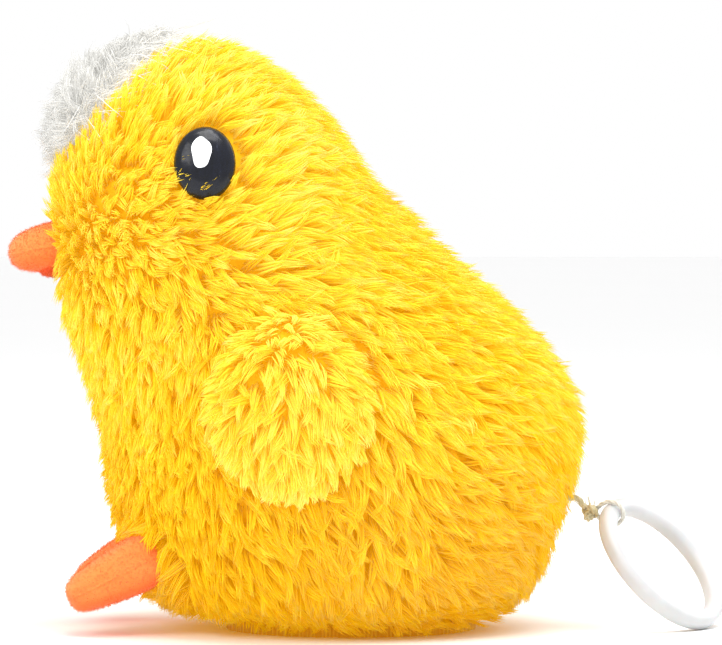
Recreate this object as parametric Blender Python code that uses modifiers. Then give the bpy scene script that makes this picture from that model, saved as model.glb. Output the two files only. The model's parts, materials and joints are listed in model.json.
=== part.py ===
"""A plush chick that hops: a pull cord winds a small clockwork motor whose
eccentric weight shakes the body while the cord runs back in.

Metres, +Z up.  The chick faces -Y and its left side is +X.  The origin is the
middle of the flat base panel that it stands on.
"""
from math import atan2, cos, pi, radians, sin, sqrt, tan

import bmesh
import bpy
import numpy as np
from mathutils import Matrix, Vector

# ---------------------------------------------------------------- dimensions
GAP = 0.0003                # between pieces that touch
SHARP_ANGLE = radians(35)   # edges sharper than this stay sharp
BLOCK_REACH = 0.09          # half size of a block that keeps part of the skin
BLOCK_TOP = 0.16
BLOCK_FLOOR = -0.02

# plush skin: height, front, back and half width of each level section
SKIN_LEVELS = np.array([
    [0.0005, -0.0300, 0.0280, 0.0275],
    [0.0050, -0.0385, 0.0310, 0.0330],
    [0.0120, -0.0438, 0.0350, 0.0370],
    [0.0220, -0.0465, 0.0380, 0.0395],
    [0.0330, -0.0482, 0.0420, 0.0410],
    [0.0430, -0.0490, 0.0440, 0.0410],
    [0.0520, -0.0530, 0.0392, 0.0400],
    [0.0610, -0.0568, 0.0293, 0.0365],
    [0.0700, -0.0582, 0.0190, 0.0345],
    [0.0790, -0.0598, 0.0083, 0.0345],
    [0.0880, -0.0600, -0.0005, 0.0342],
    [0.0970, -0.0568, -0.0060, 0.0322],
    [0.1050, -0.0515, -0.0118, 0.0278],
    [0.1115, -0.0450, -0.0190, 0.0208],
    [0.1155, -0.0390, -0.0252, 0.0125],
    [0.1170, -0.0345, -0.0285, 0.0045],
])
SKIN_SEGMENTS = 28
SKIN_THICK = 0.0032         # backing cloth with the pressed pile
STUFFING_INSET = 0.0075     # from the outside of the skin
STUFFING_ROOM = 0.0006      # round the motor
STUFFING_BUSH_ROOM = 0.0020
TUNNEL_R = 0.0028
NECK_FRONT = (-0.058, 0.060)
NECK_BACK = (0.012, 0.079)
BASE_HALF = (0.0225, 0.0250)
BASE_CENTRE_Y = -0.0008
BASE_THICK = 0.0022

# face
BEAK_UPPER = dict(at=(0.0, -0.0580, 0.0768), half=(0.0078, 0.0116, 0.0050))
BEAK_LOWER = dict(at=(0.0, -0.0578, 0.0722), half=(0.0056, 0.0062, 0.0034))
BEAK_DROOP = radians(9)
EYE_AT = (-0.0290, 0.0923)
EYE_HALF = (0.0060, 0.0072)
EYE_DOME = 0.0028
EYE_RIM = 0.0004            # thickness of the edge below the dome
EYE_STEM_R = 0.0014
EYE_STAND = 0.0018          # its flat back clears the curve of the head
EYE_STEM_LENGTH = 0.0074
EYE_HOLE_REACH = 0.0100     # the hole's cutter, either way from the skin
WASHER_R = 0.0040
WASHER_HALF_THICK = 0.0005
WASHER_DEPTH = 0.0064
CREST_AT = (0.0, -0.0500, 0.1065)
CREST_HALF = (0.0145, 0.0150, 0.0085)
CREST_TILT = radians(47)

# limbs
WING_AT = (-0.0124, 0.0472)
WING_HALF = (0.0186, 0.0168, 0.0066)    # along, across, thick
WING_LEAN = radians(12)                 # long axis back from straight down
WING_STAND = 0.0026                     # its middle stands off the skin
WING_SEAM_STAND = 0.0012
FOOT_AT = (0.0160, -0.0474, 0.0112)
FOOT_HALF = (0.0082, 0.0118, 0.0048)
FOOT_TILT = radians(26)

# motor
MODULE = 0.0006
GEAR_TEETH = 40
PINION_TEETH = 10
PRESSURE_ANGLE = radians(25)
ADDENDUM = 0.8 * MODULE
DEDENDUM = 1.1 * MODULE
BACKLASH = 0.00016
CENTRE_DISTANCE = MODULE * (GEAR_TEETH + PINION_TEETH) / 2
AXLE_R = 0.0010
BORE_R = AXLE_R + 0.00015
CORD_R = 0.00065
CORD_HEIGHT = 0.0260        # the cord leaves the drum level at this height
WINDING_R = (0.0065, 0.0080)
CORD_LINE_R = WINDING_R[1] - CORD_R
DRUM_AXIS = Vector((0.0, 0.0050, CORD_HEIGHT + CORD_LINE_R))
SECOND_ANGLE = radians(205)
WEIGHT_ANGLE = radians(125)
DRUM_HUB_R = 0.0062
DRUM_FLANGE_R = 0.0102
DRUM_HALF_WIDTH = 0.0035
DRUM_FLANGE = 0.0008
GEAR_1_X = (-0.0065, -0.0043)
GEAR_2_X = (-0.0096, -0.0074)
SPRING_X = (0.0043, 0.0101)
SPRING_R = (0.0030, 0.0108)
SPRING_TURNS = 4.5
SPRING_THICK = 0.0005
ARBOR_R = 0.0023
WEIGHT_X = (-0.0060, 0.0040)
WEIGHT_R = 0.0092
WEIGHT_HUB_R = 0.0024
WEIGHT_HUB_SHOULDER = 0.2   # radians above the disc's flat edge
HOUSING_Y = (-0.0295, 0.0205)
HOUSING_Z = (0.0115, 0.0515)
HOUSING_HALF_X = 0.0127
HOUSING_WALL = 0.0016
HOUSING_CORNER = 0.0020
SCREW_BOSS_R = 0.0024
SCREW_BOSS_INSET = 0.6      # of the boss radius, so that it grows out of the walls
SCREW_SHANK_R = 0.0009
SCREW_HEAD_R = 0.0019
SCREW_HEAD = 0.0013
SCREW_LENGTH = 0.0190
SCREW_TIP = 0.0003
BUSH_R = 0.0027
BUSH_FLANGE_R = 0.0038
BUSH_OUT = 0.0011           # past the housing's wall
BUSH_IN = 0.0020

# cord and ring
RING_R = 0.0142
RING_BAND_R = 0.0018
RING_TOP = Vector((0.0, 0.0513, 0.0229))
RING_DOWN = Vector((0.0, 1.0, -1.0)).normalized()
RING_LEAN = radians(65)     # how far the ring is turned from face-on
KNOT_AT = Vector((0.0, 0.0462, 0.0231))
KNOT_R = 0.0014
KNOT_HALF_HEIGHT = 0.0016
LOOP_R = 0.0028
LOOP_CORD_R = 0.0006
EYELET_R = 0.0023
EYELET_FLANGE_R = 0.0034
EYELET_FLANGE = 0.0007
EYELET_LENGTH = 0.0065
EYELET_FACE_Y = 0.0420
TAIL_HOLE_Y = (0.0300, 0.0600)
CORD_TAIL = ((0.0445, 0.0259), (0.0449, 0.0256), (0.0452, 0.0252), (0.0454, 0.0248))

COLOURS = {
    "plush": ((0.98, 0.62, 0.03), 0.9, 0.0),
    "wing_plush": ((0.99, 0.70, 0.08), 0.9, 0.0),
    "felt": ((1.0, 0.27, 0.08), 0.85, 0.0),
    "felt_dark": ((0.93, 0.12, 0.03), 0.85, 0.0),
    "crest": ((0.80, 0.78, 0.74), 0.95, 0.0),
    "eye": ((0.008, 0.010, 0.02), 0.15, 0.0),
    "stuffing": ((0.88, 0.88, 0.86), 1.0, 0.0),
    "ring": ((0.88, 0.88, 0.86), 0.35, 0.0),
    "cord": ((0.62, 0.55, 0.36), 0.9, 0.0),
    "housing": ((0.80, 0.80, 0.78), 0.45, 0.0),
    "gear": ((0.85, 0.84, 0.78), 0.4, 0.0),
    "steel": ((0.56, 0.57, 0.58), 0.3, 1.0),
    "spring_steel": ((0.20, 0.24, 0.30), 0.35, 1.0),
}


# ------------------------------------------------------------------- helpers
def start_scene():
    for obj in list(bpy.data.objects):
        bpy.data.objects.remove(obj, do_unlink=True)
    made = []
    for name in ("hopping_chick", "cutters"):
        collection = bpy.data.collections.new(name)
        bpy.context.scene.collection.children.link(collection)
        made.append(collection)
    return made


PARTS, CUTTERS = start_scene()


def material(key):
    mat = bpy.data.materials.get(key)
    if mat is None:
        colour, roughness, metallic = COLOURS[key]
        mat = bpy.data.materials.new(key)
        mat.use_nodes = True
        shader = mat.node_tree.nodes["Principled BSDF"]
        shader.inputs["Base Color"].default_value = (*colour, 1.0)
        shader.inputs["Roughness"].default_value = roughness
        shader.inputs["Metallic"].default_value = metallic
    return mat


def add_object(name, data, key, place=Matrix(), smooth=True):
    """Link mesh or curve data as one sub-part; a key of None makes a cutter."""
    obj = bpy.data.objects.new(name, data)
    if key is None:
        CUTTERS.objects.link(obj)
        obj.hide_render = True
        obj.display_type = "WIRE"
    else:
        PARTS.objects.link(obj)
        data.materials.append(material(key))
    obj.matrix_world = place
    if smooth and isinstance(data, bpy.types.Mesh):
        data.shade_smooth()
        data.set_sharp_from_angle(angle=SHARP_ANGLE)
    return obj


def mesh_from(bm, name):
    data = bpy.data.meshes.new(name)
    bmesh.ops.recalc_face_normals(bm, faces=bm.faces)
    bm.to_mesh(data)
    bm.free()
    return data


def cut(obj, cutter, operation="DIFFERENCE"):
    modifier = obj.modifiers.new(operation.lower(), "BOOLEAN")
    modifier.operation = operation
    modifier.solver = "EXACT"
    modifier.object = cutter


def box(name, low, high, key=None):
    bm = bmesh.new()
    bmesh.ops.create_cube(bm, size=1.0)
    low, high = Vector(low), Vector(high)
    size = high - low
    for v in bm.verts:
        v.co = (low + high) / 2 + Vector([v.co[i] * size[i] for i in range(3)])
    return add_object(name, mesh_from(bm, name), key, smooth=False)


def along(axis, centre=(0, 0, 0)):
    """The placing that turns a piece made along +Z to lie along an axis."""
    turn = Vector((0, 0, 1)).rotation_difference(Vector(axis)).to_matrix().to_4x4()
    return Matrix.Translation(Vector(centre)) @ turn


def cylinder(name, radius, start, end, key=None, sides=16):
    start, end = Vector(start), Vector(end)
    bm = bmesh.new()
    bmesh.ops.create_cone(bm, cap_ends=True, segments=sides, radius1=radius,
                          radius2=radius, depth=(end - start).length)
    return add_object(name, mesh_from(bm, name), key,
                      along(end - start, (start + end) / 2))


def ellipsoid(name, half, place, key, segments=20, rings=12):
    bm = bmesh.new()
    bmesh.ops.create_uvsphere(bm, u_segments=segments, v_segments=rings, radius=1.0)
    bmesh.ops.scale(bm, vec=half, verts=bm.verts)
    return add_object(name, mesh_from(bm, name), key, place)


def turned(name, profile, place, key, steps=24):
    """Spin an outline of (radius, height) points, given top to bottom on its
    outer side, about its own Z.  An outline that starts and ends on the axis
    is left open there, and any other is closed."""
    bm = bmesh.new()
    verts = [bm.verts.new((r, 0.0, h)) for r, h in profile]
    for a, b in zip(verts, verts[1:]):
        bm.edges.new((a, b))
    if profile[0][0] or profile[-1][0]:
        bm.edges.new((verts[-1], verts[0]))
    data = bpy.data.meshes.new(name)
    bm.to_mesh(data)
    bm.free()
    obj = add_object(name, data, key, place)
    screw = obj.modifiers.new("turn", "SCREW")
    screw.steps = steps
    screw.render_steps = steps
    screw.use_merge_vertices = True
    screw.merge_threshold = 0.00001
    return obj


def flat(name, outlines, x_range, centre, key):
    """A flat piece square to the X axis: outlines of (y, z) points about a
    centre, the first its edge and the others holes."""
    curve = bpy.data.curves.new(name, "CURVE")
    curve.dimensions = "2D"
    curve.fill_mode = "BOTH"
    curve.extrude = (x_range[1] - x_range[0]) / 2
    for points in outlines:
        spline = curve.splines.new("POLY")
        spline.points.add(len(points) - 1)
        for point, (y, z) in zip(spline.points, points):
            point.co = (-z, y, 0.0, 1.0)
        spline.use_cyclic_u = True
    place = Matrix.Translation((sum(x_range) / 2, centre.y, centre.z)) @ Matrix.Rotation(pi / 2, 4, "Y")
    return add_object(name, curve, key, place)


def wire(name, points, radius, key, cyclic=False, resolution=2):
    curve = bpy.data.curves.new(name, "CURVE")
    curve.dimensions = "3D"
    curve.bevel_depth = radius
    curve.bevel_resolution = resolution
    curve.use_fill_caps = not cyclic
    spline = curve.splines.new("POLY")
    spline.points.add(len(points) - 1)
    for point, co in zip(spline.points, points):
        point.co = (*co, 1.0)
    spline.use_cyclic_u = cyclic
    return add_object(name, curve, key)


def circle(radius, sides, start=0.0):
    return [(radius * cos(start + 2 * pi * i / sides), radius * sin(start + 2 * pi * i / sides))
            for i in range(sides)]


# --------------------------------------------------------------- plush skin
def skin_section(height):
    """Front, back and half width of the skin at a height."""
    levels = SKIN_LEVELS[:, 0]
    slopes = np.gradient(SKIN_LEVELS[:, 1:], levels, axis=0)
    i = int(np.clip(np.searchsorted(levels, height) - 1, 0, len(levels) - 2))
    step = levels[i + 1] - levels[i]
    t = (height - levels[i]) / step
    return ((2 * t ** 3 - 3 * t ** 2 + 1) * SKIN_LEVELS[i, 1:]
            + (t ** 3 - 2 * t ** 2 + t) * step * slopes[i]
            + (3 * t ** 2 - 2 * t ** 3) * SKIN_LEVELS[i + 1, 1:]
            + (t ** 3 - t ** 2) * step * slopes[i + 1])


def skin_surface_x(y, z):
    """Half width of the skin where it passes a point of the side view."""
    front, back, width = skin_section(z)
    across = (y - (front + back) / 2) / ((back - front) / 2)
    return width * sqrt(max(0.0, 1 - across * across))


def skin_point(y, z, side):
    """The point of the skin's left or right side, and its outward normal."""
    step = 0.0005
    in_y = (skin_surface_x(y + step, z) - skin_surface_x(y - step, z)) / (2 * step)
    in_z = (skin_surface_x(y, z + step) - skin_surface_x(y, z - step)) / (2 * step)
    return Vector((side * skin_surface_x(y, z), y, z)), Vector((side, -in_y, -in_z)).normalized()


def skin_mesh(name, offset=0.0, open_below=False):
    """The skin's outer form, a stack of level ovals closed at the crown."""
    bm = bmesh.new()
    rings = []
    for height in SKIN_LEVELS[:, 0]:
        front, back, width = skin_section(height)
        ring = []
        for i in range(SKIN_SEGMENTS):
            turn = 2 * pi * (i + 0.5) / SKIN_SEGMENTS
            y = (front + back) / 2 - (back - front) / 2 * cos(turn)
            ring.append(bm.verts.new((width * sin(turn), y, height)))
        rings.append(ring)
    for lower, upper in zip(rings, rings[1:]):
        for i in range(SKIN_SEGMENTS):
            j = (i + 1) % SKIN_SEGMENTS
            bm.faces.new((lower[i], lower[j], upper[j], upper[i]))
    bm.faces.new(rings[-1])
    if not open_below:
        bm.faces.new(rings[0][::-1])
    bmesh.ops.recalc_face_normals(bm, faces=bm.faces)
    if offset:
        bm.normal_update()
        moves = [v.normal * offset for v in bm.verts]
        for v, move in zip(bm.verts, moves):
            v.co += move
    return mesh_from(bm, name)


def neck_height(y):
    (y0, z0), (y1, z1) = NECK_FRONT, NECK_BACK
    return z0 + (y - y0) * (z1 - z0) / (y1 - y0)


def neck_block(name, above, x_range, gap):
    """A block that keeps what is above or below the neck seam, within an X
    range and a gap clear of the seam."""
    far, edge = (BLOCK_TOP, gap) if above else (BLOCK_FLOOR, -gap)
    bm = bmesh.new()
    for x in x_range:
        for y in (-BLOCK_REACH, BLOCK_REACH):
            bm.verts.new((x, y, neck_height(y) + edge))
            bm.verts.new((x, y, far))
    bmesh.ops.convex_hull(bm, input=bm.verts)
    return add_object(name, mesh_from(bm, name), None, smooth=False)


def make_skin():
    tail_hole = cylinder("tail_hole", EYELET_R + GAP, (0, TAIL_HOLE_Y[0], CORD_HEIGHT),
                         (0, TAIL_HOLE_Y[1], CORD_HEIGHT))
    for part, above in (("head_cover", True), ("body_cover", False)):
        for word, side in (("left", 1), ("right", -1)):
            name = f"{part}_{word}"
            cover = add_object(name, skin_mesh(name, open_below=True), "plush")
            thick = cover.modifiers.new("thickness", "SOLIDIFY")
            thick.thickness = SKIN_THICK
            thick.offset = -1.0
            x_range = (side * GAP / 2, side * BLOCK_REACH)
            cut(cover, neck_block(f"{name}_block", above, x_range, GAP / 2), "INTERSECT")
            if above:
                seat, out = skin_point(*EYE_AT, side)
                cut(cover, cylinder(f"{name}_eye_hole", EYE_STEM_R + GAP, seat - out * EYE_HOLE_REACH,
                                    seat + out * EYE_HOLE_REACH))
            else:
                cut(cover, tail_hole)


def make_base():
    oval = [(BASE_CENTRE_Y + BASE_HALF[1] * cos(t), BASE_HALF[0] * sin(t))
            for t in np.linspace(0, 2 * pi, 36, endpoint=False)]
    curve = bpy.data.curves.new("base_panel", "CURVE")
    curve.dimensions = "2D"
    curve.fill_mode = "BOTH"
    curve.extrude = BASE_THICK / 2
    spline = curve.splines.new("POLY")
    spline.points.add(len(oval) - 1)
    for point, (y, x) in zip(spline.points, oval):
        point.co = (x, y, 0.0, 1.0)
    spline.use_cyclic_u = True
    add_object("base_panel", curve, "plush", Matrix.Translation((0, 0, BASE_THICK / 2)))


def make_stuffing():
    ears = HOUSING_HALF_X + SCREW_HEAD + 2 * STUFFING_ROOM
    pocket = box("motor_pocket",
                 (-ears, HOUSING_Y[0] - STUFFING_ROOM, HOUSING_Z[0] - STUFFING_ROOM),
                 (ears, HOUSING_Y[1] + STUFFING_BUSH_ROOM, HOUSING_Z[1] + STUFFING_ROOM))
    tunnel = cylinder("cord_tunnel", TUNNEL_R, (0, HOUSING_Y[1], CORD_HEIGHT),
                      (0, TAIL_HOLE_Y[1], CORD_HEIGHT))
    for name, above in (("head_stuffing", True), ("body_stuffing", False)):
        fill = add_object(name, skin_mesh(name, -STUFFING_INSET), "stuffing")
        cut(fill, neck_block(f"{name}_block", above, (-BLOCK_REACH, BLOCK_REACH), GAP), "INTERSECT")
        if not above:
            cut(fill, pocket)
            cut(fill, tunnel)


# --------------------------------------------------------------------- face
def make_face(skin_cutter):
    droop = Matrix.Translation(BEAK_UPPER["at"]) @ Matrix.Rotation(BEAK_DROOP, 4, "X")
    upper = ellipsoid("beak_upper", BEAK_UPPER["half"], droop, "felt")
    cut(upper, skin_cutter)
    room = [h + GAP for h in BEAK_UPPER["half"]]
    beak_cutter = ellipsoid("beak_room", room, droop, None)
    lower = ellipsoid("beak_lower", BEAK_LOWER["half"], Matrix.Translation(BEAK_LOWER["at"]),
                      "felt_dark", 16, 10)
    cut(lower, skin_cutter)
    cut(lower, beak_cutter)
    crest = ellipsoid("crest_tuft", CREST_HALF,
                      Matrix.Translation(CREST_AT) @ Matrix.Rotation(CREST_TILT, 4, "X"), "crest")
    cut(crest, skin_cutter)

    # safety eyes: an oval dome on a stem that a washer holds inside the skin
    dome = [(EYE_HALF[0] * cos(a), EYE_DOME * sin(a)) for a in np.linspace(pi / 2, 0, 6)]
    dome[0] = (0.0, EYE_DOME)
    edge = -EYE_RIM
    bore = EYE_STEM_R + GAP
    thick = WASHER_HALF_THICK
    for word, side in (("left", 1), ("right", -1)):
        point, out = skin_point(*EYE_AT, side)
        place = along(out, point + out * EYE_STAND)
        eye = turned(f"eye_{word}", dome + [(EYE_HALF[0], edge), (EYE_STEM_R, edge),
                                            (EYE_STEM_R, -EYE_STEM_LENGTH), (0.0, -EYE_STEM_LENGTH)],
                     place, "eye")
        upright = eye.matrix_world.to_3x3().inverted() @ Vector((0, 0, 1))
        spin = atan2(upright.y, upright.x)
        eye.matrix_world = place @ Matrix.Rotation(spin, 4, "Z")
        stretch_head(eye, EYE_HALF[1] / EYE_HALF[0])
        turned(f"eye_washer_{word}",
               [(WASHER_R, thick), (WASHER_R, -thick), (bore, -thick), (bore, thick)],
               along(out, point + out * (EYE_STAND - WASHER_DEPTH)), "housing", 20)


def stretch_head(eye, ratio):
    """Make the dome an oval, taller than wide, and leave its stem round."""
    eye.modifiers.remove(eye.modifiers["turn"])
    bm = bmesh.new()
    bm.from_mesh(eye.data)
    bmesh.ops.spin(bm, geom=bm.verts[:] + bm.edges[:], angle=2 * pi, steps=24, axis=(0, 0, 1),
                   cent=(0, 0, 0), use_merge=True)
    bmesh.ops.remove_doubles(bm, verts=bm.verts, dist=0.00001)
    bmesh.ops.recalc_face_normals(bm, faces=bm.faces)
    for v in bm.verts:
        if v.co.xy.length > EYE_STEM_R * 1.01 or v.co.z > 0:
            v.co.x *= ratio
    bm.to_mesh(eye.data)
    bm.free()
    eye.data.shade_smooth()
    eye.data.set_sharp_from_angle(angle=SHARP_ANGLE)


# -------------------------------------------------------------------- limbs
def make_limbs(skin_cutter):
    wing_down = Vector((0.0, sin(WING_LEAN), -cos(WING_LEAN)))
    for word, side in (("left", 1), ("right", -1)):
        centre = Vector((side * (skin_surface_x(*WING_AT) + WING_STAND), *WING_AT))
        hinge = wing_hinge(side)
        across = Vector((0.0, cos(WING_LEAN), sin(WING_LEAN)))
        pad = Matrix((wing_down, across, Vector((1.0, 0.0, 0.0)))).transposed().to_4x4()
        pad.translation = centre - hinge
        bm = bmesh.new()
        bmesh.ops.create_uvsphere(bm, u_segments=24, v_segments=12, radius=1.0)
        bmesh.ops.scale(bm, vec=WING_HALF, verts=bm.verts)
        bmesh.ops.transform(bm, matrix=pad, verts=bm.verts)
        wing = add_object(f"wing_{word}", mesh_from(bm, f"wing_{word}"), "wing_plush",
                          Matrix.Translation(hinge))
        cut(wing, skin_cutter)

        foot_at = Vector((side * FOOT_AT[0], FOOT_AT[1], FOOT_AT[2]))
        place = Matrix.Translation(foot_at) @ Matrix.Rotation(FOOT_TILT, 4, "X")
        foot = ellipsoid(f"foot_{word}", FOOT_HALF, place, "felt")
        cut(foot, skin_cutter)


def wing_hinge(side):
    """A point on the seam that the wing swings about, at its upper edge."""
    y = WING_AT[0] - WING_HALF[0] * sin(WING_LEAN)
    z = WING_AT[1] + WING_HALF[0] * cos(WING_LEAN)
    return Vector((side * (skin_surface_x(y, z) + WING_SEAM_STAND), y, z))


# -------------------------------------------------------------------- motor
def gear_outline(teeth, phase):
    """Involute teeth as (y, z) points; phase is where one tooth points."""
    pitch = MODULE * teeth / 2
    base = pitch * cos(PRESSURE_ANGLE)
    root, tip = pitch - DEDENDUM, pitch + ADDENDUM
    half_tooth = (pi * MODULE / 2 - BACKLASH) / 2 / pitch
    involute_at_pitch = tan(PRESSURE_ANGLE) - PRESSURE_ANGLE

    def half_angle(radius):
        if radius <= base:
            return half_tooth + involute_at_pitch
        slope = sqrt((radius / base) ** 2 - 1)
        return half_tooth + involute_at_pitch - (slope - atan2(slope, 1))

    start = max(base, root)
    flank = [start + (tip - start) * t for t in (0.0, 0.5, 1.0)]
    radii = flank if root >= base else [root] + flank
    points = []
    for i in range(teeth):
        middle = phase + 2 * pi * i / teeth
        for sense in (-1, 1):
            for radius in radii if sense < 0 else reversed(radii):
                angle = middle + sense * half_angle(radius)
                points.append((radius * cos(angle), radius * sin(angle)))
    return points


def around(centre, angle, distance):
    return centre + Vector((0.0, distance * cos(angle), distance * sin(angle)))


SECOND_AXIS = around(DRUM_AXIS, SECOND_ANGLE, CENTRE_DISTANCE)
WEIGHT_AXIS = around(SECOND_AXIS, WEIGHT_ANGLE, CENTRE_DISTANCE)


def ring_profile(outer, inner, x_range):
    low, high = x_range
    return [(outer, high), (outer, low), (inner, low), (inner, high)]


def make_train():
    pinion_tooth = 2 * pi / PINION_TEETH
    drum = along((1, 0, 0), DRUM_AXIS)

    # the cord drum with its flanges, and the cord wound on it
    half, inner = DRUM_HALF_WIDTH, DRUM_HALF_WIDTH - DRUM_FLANGE
    turned("cord_drum", [(DRUM_FLANGE_R, half), (DRUM_FLANGE_R, inner), (DRUM_HUB_R, inner),
                         (DRUM_HUB_R, -inner), (DRUM_FLANGE_R, -inner), (DRUM_FLANGE_R, -half),
                         (BORE_R, -half), (BORE_R, half)], drum, "gear", 32)
    room = inner - GAP
    turned("cord_winding", ring_profile(WINDING_R[1], WINDING_R[0], (-room, room)), drum, "cord", 32)

    # each pair meets with a tooth of the driver in a space of the pinion
    flat("drum_gear", [gear_outline(GEAR_TEETH, SECOND_ANGLE), circle(BORE_R, 16)],
         GEAR_1_X, DRUM_AXIS, "gear")
    back = SECOND_ANGLE + pi
    flat("second_pinion", [gear_outline(PINION_TEETH, back + pinion_tooth / 2), circle(BORE_R, 12)],
         (GEAR_1_X[0] - GAP, GEAR_1_X[1] + GAP), SECOND_AXIS, "gear")
    flat("second_gear", [gear_outline(GEAR_TEETH, WEIGHT_ANGLE), circle(BORE_R, 16)],
         GEAR_2_X, SECOND_AXIS, "gear")
    back = WEIGHT_ANGLE + pi
    flat("weight_pinion", [gear_outline(PINION_TEETH, back + pinion_tooth / 2), circle(BORE_R, 12)],
         (GEAR_2_X[0] - GAP, GEAR_2_X[1] + GAP), WEIGHT_AXIS, "gear")

    for name, axis in (("drum_axle", DRUM_AXIS), ("second_axle", SECOND_AXIS),
                       ("weight_axle", WEIGHT_AXIS)):
        reach = HOUSING_HALF_X - GAP
        cylinder(name, AXLE_R, (-reach, axis.y, axis.z), (reach, axis.y, axis.z), "steel", 12)

    turned("spring_arbor", ring_profile(ARBOR_R, BORE_R, SPRING_X), drum, "steel", 16)
    count = round(SPRING_TURNS * 18)
    turns = np.linspace(0, SPRING_TURNS * 2 * pi, count + 1)
    radii = np.linspace(SPRING_R[0], SPRING_R[1] - SPRING_THICK, count + 1)
    inside = [(r * cos(t), r * sin(t)) for r, t in zip(radii, turns)]
    outside = [((r + SPRING_THICK) * cos(t), (r + SPRING_THICK) * sin(t)) for r, t in zip(radii, turns)]
    flat("mainspring", [inside + outside[::-1]], (SPRING_X[0] + GAP, SPRING_X[1] - GAP),
         DRUM_AXIS, "spring_steel")

    # half a disc on a hub, heavy on one side
    arc = [(WEIGHT_R * cos(t), WEIGHT_R * sin(t)) for t in np.linspace(-pi, 0, 13)]
    hub = [(WEIGHT_HUB_R * cos(t), WEIGHT_HUB_R * sin(t))
           for t in np.linspace(WEIGHT_HUB_SHOULDER, pi - WEIGHT_HUB_SHOULDER, 6)]
    flat("eccentric_weight", [arc + hub, circle(BORE_R, 12)], WEIGHT_X, WEIGHT_AXIS, "steel")


# ------------------------------------------------------------------ housing
def screw_places():
    inset = HOUSING_WALL + SCREW_BOSS_INSET * SCREW_BOSS_R
    return [(y, z) for y in (HOUSING_Y[0] + inset, HOUSING_Y[1] - inset)
            for z in (HOUSING_Z[0] + inset, HOUSING_Z[1] - inset)]


def make_housing():
    wall, far = HOUSING_WALL, HOUSING_HALF_X
    for word, side in (("left", 1), ("right", -1)):
        name = f"motor_housing_{word}"
        split = side * GAP / 2
        case = box(name, (min(split, side * far), HOUSING_Y[0], HOUSING_Z[0]),
                   (max(split, side * far), HOUSING_Y[1], HOUSING_Z[1]), "housing")
        bevel = case.modifiers.new("corners", "BEVEL")
        bevel.width = HOUSING_CORNER
        bevel.segments = 2
        bevel.limit_method = "WEIGHT"
        edges = case.data.attributes.new("bevel_weight_edge", "FLOAT", "EDGE")
        for edge in case.data.edges:
            a, b = (case.data.vertices[v].co for v in edge.vertices)
            edges.data[edge.index].value = 1.0 if abs(a.x - b.x) > far / 2 else 0.0
        hollow = box(f"{name}_hollow", (-(far - wall), HOUSING_Y[0] + wall, HOUSING_Z[0] + wall),
                     (far - wall, HOUSING_Y[1] - wall, HOUSING_Z[1] - wall))
        for i, (y, z) in enumerate(screw_places()):
            post = cylinder(f"{name}_post_{i + 1}", SCREW_BOSS_R, (-far, y, z), (far, y, z), None, 12)
            cut(hollow, post)
        cut(case, hollow)
        for i, (y, z) in enumerate(screw_places()):
            ends = (side * far * 2, y, z), (-side * far, y, z)
            if side < 0:
                ends = (side * (SCREW_LENGTH - far + GAP), y, z), (-side * far, y, z)
            cut(case, cylinder(f"{name}_screw_hole_{i + 1}", SCREW_SHANK_R + GAP, *ends))
        for i, axis in enumerate((DRUM_AXIS, SECOND_AXIS, WEIGHT_AXIS)):
            cut(case, cylinder(f"{name}_bearing_{i + 1}", BORE_R, (-2 * far, axis.y, axis.z),
                               (2 * far, axis.y, axis.z)))
        cut(case, cylinder(f"{name}_cord_hole", BUSH_R + GAP, (0, HOUSING_Y[1] - 2 * wall, CORD_HEIGHT),
                           (0, HOUSING_Y[1] + 2 * wall, CORD_HEIGHT)))

    for i, (y, z) in enumerate(screw_places()):
        head, shank = SCREW_HEAD_R, SCREW_SHANK_R
        profile = [(0.0, SCREW_HEAD), (head * 0.7, SCREW_HEAD), (head, SCREW_HEAD * 0.5), (head, 0.0),
                   (shank, 0.0), (shank, -SCREW_LENGTH), (0.0, -SCREW_LENGTH - SCREW_TIP)]
        turned(f"housing_screw_{i + 1}", profile, along((1, 0, 0), (far + GAP, y, z)), "steel", 10)

    bore = CORD_R + GAP
    profile = [(BUSH_FLANGE_R, BUSH_OUT), (BUSH_FLANGE_R, GAP), (BUSH_R, GAP), (BUSH_R, -BUSH_IN),
               (bore, -BUSH_IN), (bore, BUSH_OUT)]
    turned("cord_bush", profile, along((0, 1, 0), (0, HOUSING_Y[1], CORD_HEIGHT)), "gear", 20)


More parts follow.
